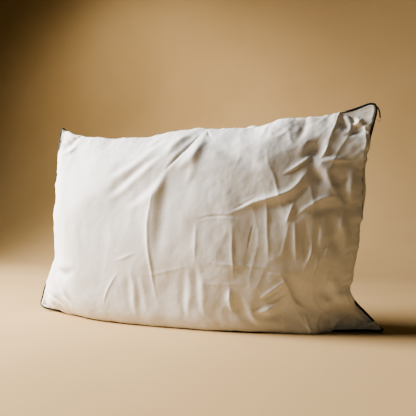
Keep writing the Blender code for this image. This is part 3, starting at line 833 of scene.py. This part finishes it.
def label_piece(case, material):
    """A blank folded tape caught in the seam low on the left end, lying on the rear panel."""
    x, z = cloth_places(case)
    across, up = x[:, 0], z[0]
    reach = np.linspace(0, 1, 22)
    along_seam = np.linspace(0, 1, 16)
    low = LABEL_START * CUT_HEIGHT
    a = np.interp(reach * LABEL_LENGTH + 0.001, across, np.arange(len(across)))
    b = np.interp(low + along_seam * LABEL_WIDTH, up, np.arange(len(up)))
    a, b = np.meshgrid(a, b, indexing="ij")
    rear = low_pass(case, 3)[1]
    normal = unit(sampled(outward_normals(rear, 1), a, b))
    lift = LABEL_LIFT + LABEL_CURL * reach[:, None] ** 3 + LABEL_WAVE * np.sin(5 * along_seam)[None]
    under = sampled(rear, a, b) + normal * lift[..., None]
    over = under + normal * LABEL_THICK
    count = under.shape[0] * under.shape[1]
    numbers = np.arange(count).reshape(under.shape[:2])
    edge = np.array(border_index(under.shape[0] - 1, under.shape[1] - 1)).T
    ring = numbers[edge[0], edge[1]]
    band = np.stack([ring, np.roll(ring, -1), count + np.roll(ring, -1), count + ring], axis=1)
    faces = np.vstack([quads(numbers, False), quads(numbers + count, True), band[:, ::-1]])
    points = np.vstack([under.reshape(-1, 3), over.reshape(-1, 3)])
    item = mesh_piece("care_label", points, faces.tolist(), material)
    u, v = np.meshgrid(reach * LABEL_LENGTH, along_seam * LABEL_WIDTH, indexing="ij")
    add_uv(item, np.tile(np.stack([u, v], axis=-1).reshape(-1, 2), (2, 1)))
    return item


def loose_ends(seam, piping, red):
    """At the upper right ear the cut end of the piping hangs free, with a thread at its tip."""
    line = seam.at(BEAD_CENTRE + BEAD_RADIUS / 2, 0)
    tip = line[:, 2].max()
    ear = int(np.argmin(np.abs(line[:, 2] - tip + TAIL_BELOW) - 10 * (line[:, 0] > CUT_LENGTH * 0.46)))
    start = line[ear]
    route = smooth_curve(start + np.array(TAIL_ROUTE), 40)
    radii = TAIL_RADIUS * (1 + 0.12 * np.sin(np.arange(40) * 1.1)) * np.linspace(1.0, 0.8, 40)
    tube("piping_tail", route, radii, 10, piping)
    loop = smooth_curve(route[-1] + np.array(LOOP_ROUTE), 36)
    tube("thread_tail", loop, np.full(36, LOOP_RADIUS), 8, red)


def closing_stitches(seam, material):
    """The row of stitches over the gap that the filling went in through, on the left end."""
    line = seam.at(-CLOSING_INSET, CLOSING_DEPTH)
    left = line[line[:, 0] < -CUT_LENGTH * 0.4]
    left = left[np.argsort(left[:, 2])]
    heights = np.linspace(*CLOSING_SPAN, CLOSING_POINTS)
    path = np.stack([np.interp(heights, left[:, 2], left[:, k]) for k in range(3)], axis=1)
    path[:, 1] += CLOSING_SWAY * np.sin(np.arange(CLOSING_POINTS) * 1.2)
    radii = np.full(CLOSING_POINTS, THREAD_RADIUS)
    tube("closing_thread", path, radii, 6, material)


# ------------------------------
# Materials


class Surface:
    """A Principled material built up from procedural nodes."""

    def __init__(self, name, roughness, sheen=0.0):
        self.material = bpy.data.materials.new(name)
        self.material.use_nodes = True
        self.tree = self.material.node_tree
        self.shader = self.tree.nodes["Principled BSDF"]
        self.shader.inputs["Roughness"].default_value = roughness
        self.shader.inputs["Specular IOR Level"].default_value = 0.25
        self.shader.inputs["Sheen Weight"].default_value = sheen
        self.shader.inputs["Sheen Roughness"].default_value = 0.5
        self.places = self.node("TexCoord")
        self.bump = None

    def node(self, kind):
        return self.tree.nodes.new("ShaderNode" + kind)

    def link(self, source, target):
        self.tree.links.new(source, target)

    def stretched(self, texture, space, scale):
        """Lays a texture node out in a space, with its own scale along each axis."""
        stretch = self.node("Mapping")
        stretch.inputs["Scale"].default_value = scale
        texture.inputs["Scale"].default_value = 1.0
        self.link(self.places.outputs[space], stretch.inputs["Vector"])
        self.link(stretch.outputs["Vector"], texture.inputs["Vector"])
        return texture.outputs["Fac"]

    def noise(self, scale, detail=3.0, space="Object", roughness=0.5):
        noise = self.node("TexNoise")
        noise.inputs["Detail"].default_value = detail
        noise.inputs["Roughness"].default_value = roughness
        return self.stretched(noise, space, scale)

    def wave(self, scale, direction, distortion, space="UV"):
        wave = self.node("TexWave")
        wave.bands_direction = direction
        wave.inputs["Distortion"].default_value = distortion
        return self.stretched(wave, space, (scale, scale, scale))

    def maths(self, kind, a, b):
        node = self.node("Math")
        node.operation = kind
        for socket, value in zip(node.inputs, (a, b)):
            if isinstance(value, (int, float)):
                socket.default_value = value
            else:
                self.link(value, socket)
        return node.outputs["Value"]

    def ramp(self, value, stops):
        node = self.node("ValToRGB")
        while len(node.color_ramp.elements) < len(stops):
            node.color_ramp.elements.new(0.5)
        for element, (place, colour) in zip(node.color_ramp.elements, stops):
            element.position = place
            element.color = (*colour, 1)
        self.link(value, node.inputs["Fac"])
        return node.outputs["Color"]

    def tint(self, colour, other, share):
        node = self.node("Mix")
        node.data_type = "RGBA"
        node.blend_type = "MULTIPLY"
        node.inputs["Factor"].default_value = share
        self.link(colour, node.inputs[6])
        self.link(other, node.inputs[7])
        return node.outputs[2]

    def raise_by(self, height, distance, strength=1.0):
        node = self.node("Bump")
        node.inputs["Distance"].default_value = distance
        node.inputs["Strength"].default_value = strength
        self.link(height, node.inputs["Height"])
        if self.bump:
            self.link(self.bump, node.inputs["Normal"])
        self.bump = node.outputs["Normal"]
        self.link(self.bump, self.shader.inputs["Normal"])

    def colour(self, output):
        self.link(output, self.shader.inputs["Base Color"])
        return self.material


def cotton_surface():
    """White percale: an even plain weave with slubs, faint streaks and the slight yellow of use."""
    cotton = Surface("cotton", 0.82, 0.12)
    clouds = cotton.noise((7, 7, 7), 4.0)
    base = cotton.ramp(clouds, [(0.30, (0.77, 0.755, 0.735)), (0.72, (0.83, 0.82, 0.81))])
    warp = cotton.noise((900, 14, 1), 2.0, "UV")
    weft = cotton.noise((16, 900, 1), 2.0, "UV")
    slubs = cotton.maths("MULTIPLY", cotton.maths("ADD", warp, weft), 0.5)
    base = cotton.tint(base, cotton.ramp(slubs, [(0.38, (0.93, 0.925, 0.915)), (0.56, (1, 1, 1))]), 0.7)
    threads = cotton.maths("ADD", cotton.wave(330, "X", 0.6), cotton.wave(330, "Y", 0.6))
    cotton.raise_by(threads, 0.00006, 0.5)
    cotton.raise_by(slubs, 0.00022, 0.6)
    cotton.raise_by(cotton.noise((95, 95, 95), 5.0, roughness=0.6), 0.0012, 0.22)
    return cotton.colour(base)


def piping_surface():
    """Near-black green bias strip: a diagonal weave, lint and worn edges."""
    piping = Surface("piping", 0.78, 0.20)
    twill = piping.wave(420, "DIAGONAL", 0.8)
    worn = piping.noise((60, 60, 60), 5.0)
    base = piping.ramp(worn, [(0.35, (0.012, 0.018, 0.015)), (0.75, (0.040, 0.050, 0.042))])
    piping.raise_by(twill, 0.00010, 0.8)
    piping.raise_by(piping.noise((240, 240, 240), 3.0), 0.0003, 0.4)
    ribs = piping.ramp(twill, [(0.2, (0.7, 0.7, 0.7)), (0.7, (1, 1, 1))])
    return piping.colour(piping.tint(base, ribs, 0.8))


def fibre_surface():
    """Off-white fibre in streaks."""
    fibre = Surface("fibre", 1.0, 0.4)
    strands = fibre.noise((160, 40, 160), 8.0, roughness=0.75)
    fibre.raise_by(strands, 0.004, 0.7)
    return fibre.colour(fibre.ramp(strands, [(0.3, (0.72, 0.70, 0.66)), (0.7, (0.88, 0.87, 0.84))]))


def thread_surface(name, dark, light):
    """A twisted thread, from its dark to its light colour."""
    thread = Surface(name, 0.6, 0.15)
    twist = thread.noise((900, 900, 900), 2.0)
    thread.raise_by(twist, 0.0001, 0.8)
    return thread.colour(thread.ramp(twist, [(0.35, dark), (0.65, light)]))


def label_surface():
    """Smooth white tape with fine ribs."""
    label = Surface("label", 0.45, 0.1)
    ribs = label.wave(700, "Y", 0.4)
    clouds = label.noise((90, 90, 90), 3.0)
    label.raise_by(ribs, 0.00005, 0.7)
    return label.colour(label.ramp(clouds, [(0.3, (0.74, 0.735, 0.71)), (0.7, (0.82, 0.815, 0.80))]))


def paper_surface():
    """Pale warm paper, very slightly uneven."""
    paper = Surface("paper", 0.92)
    grain = paper.noise((3, 3, 3), 4.0)
    paper.raise_by(paper.noise((160, 160, 160), 4.0), 0.0008, 0.15)
    return paper.colour(paper.ramp(grain, [(0.3, (0.525, 0.372, 0.197)), (0.7, (0.56, 0.402, 0.222))]))


# ------------------------------
# Stage


def add_camera():
    data = bpy.data.cameras.new("camera")
    data.sensor_width = 36
    data.lens = LENS
    camera = placed("camera", data)
    yaw = math.radians(YAW)
    camera.location = (AIM[0] + DISTANCE * math.sin(yaw), AIM[1] - DISTANCE * math.cos(yaw), AIM[2])
    camera.rotation_euler = (math.pi / 2 + math.radians(PITCH), 0, yaw)
    bpy.context.scene.camera = camera


def add_light(name, kind, place, target, power, colour):
    data = bpy.data.lights.new(name, kind)
    data.energy = power
    data.color = colour
    light = placed(name, data)
    light.location = place
    light.rotation_euler = (Vector(target) - Vector(place)).to_track_quat("-Z", "Y").to_euler()
    return data


def add_stage():
    """A seamless sweep of pale warm paper."""
    turns = np.linspace(0, math.pi / 2, 16)
    bend = [(SWEEP_BEND + SWEEP_RADIUS * math.sin(a), SWEEP_RADIUS * (1 - math.cos(a))) for a in turns]
    profile = [(SWEEP_FRONT, 0.0)] + bend + [(SWEEP_BEND + SWEEP_RADIUS, SWEEP_TOP)]
    points = [(x, y, z) for y, z in profile for x in (-SWEEP_HALF, SWEEP_HALF)]
    faces = [(2 * n, 2 * n + 1, 2 * n + 3, 2 * n + 2) for n in range(len(profile) - 1)]
    mesh = bpy.data.meshes.new("sweep")
    mesh.from_pydata(points, [], faces)
    mesh.shade_smooth()
    mesh.materials.append(paper_surface())
    placed("sweep", mesh)


def add_lights():
    turn, climb = math.radians(KEY_TURN), math.radians(KEY_CLIMB)
    place = (-KEY_DISTANCE * math.cos(climb) * math.sin(turn),
             -KEY_DISTANCE * math.cos(climb) * math.cos(turn), KEY_DISTANCE * math.sin(climb) + KEY_BASE)
    key = add_light("key", "AREA", place, KEY_TARGET, KEY_POWER, KEY_COLOUR)
    key.shape = "SQUARE"
    key.size = KEY_SIZE
    key.spread = math.radians(KEY_SPREAD)
    pool = add_light("backdrop_light", "SPOT", POOL_FROM, POOL_AT, POOL_POWER, POOL_COLOUR)
    pool.spot_size = math.radians(POOL_CONE)
    pool.spot_blend = 1.0
    pool.shadow_soft_size = POOL_SOFT
    world = bpy.data.worlds.new("world")
    bpy.context.scene.world = world
    world.use_nodes = True
    background = world.node_tree.nodes["Background"]
    background.inputs["Color"].default_value = FILL_COLOUR
    background.inputs["Strength"].default_value = FILL_STRENGTH
    look = bpy.context.scene.view_settings
    look.view_transform = "AgX"
    look.look = "AgX - High Contrast"
    look.exposure = EXPOSURE


# ------------------------------


def shaped_case():
    case = start_shape()
    filled = inflate(case)
    return settled(eared(overhang(dressed(fitted_to_seam(refined(filled, REFINE))))))


def build():
    case = crumple(shaped_case())
    seam = Seam(case)
    cotton, piping = cotton_surface(), piping_surface()
    white = thread_surface("white_thread", (0.70, 0.69, 0.66), (0.82, 0.81, 0.79))
    red = thread_surface("red_thread", (0.22, 0.06, 0.03), (0.42, 0.16, 0.09))
    filling_piece(case, fibre_surface())
    panel_piece("front_panel", case, 0, seam, cotton)
    panel_piece("rear_panel", case, 1, seam, cotton)
    swept_ring("piping_strip", strip_section(), seam, piping)
    swept_ring("piping_cord", circle(BEAD_CENTRE, 0, FILLER_CORD_RADIUS, 10), seam, white)
    for name, depth in (("needle_thread", -STITCH_DEPTH), ("bobbin_thread", STITCH_DEPTH)):
        swept_ring(name, circle(-STITCH_INSET, depth, THREAD_RADIUS, 6), seam, white)
    closing_stitches(seam, white)
    label_piece(case, label_surface())
    loose_ends(seam, piping, red)


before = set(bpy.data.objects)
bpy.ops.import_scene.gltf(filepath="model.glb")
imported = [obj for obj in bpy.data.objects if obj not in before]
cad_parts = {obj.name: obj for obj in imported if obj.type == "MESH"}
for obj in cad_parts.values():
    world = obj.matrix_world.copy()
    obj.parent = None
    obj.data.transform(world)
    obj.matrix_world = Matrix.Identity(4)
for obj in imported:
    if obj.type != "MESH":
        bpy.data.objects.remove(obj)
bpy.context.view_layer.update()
add_camera()
add_stage()
add_lights()
build()
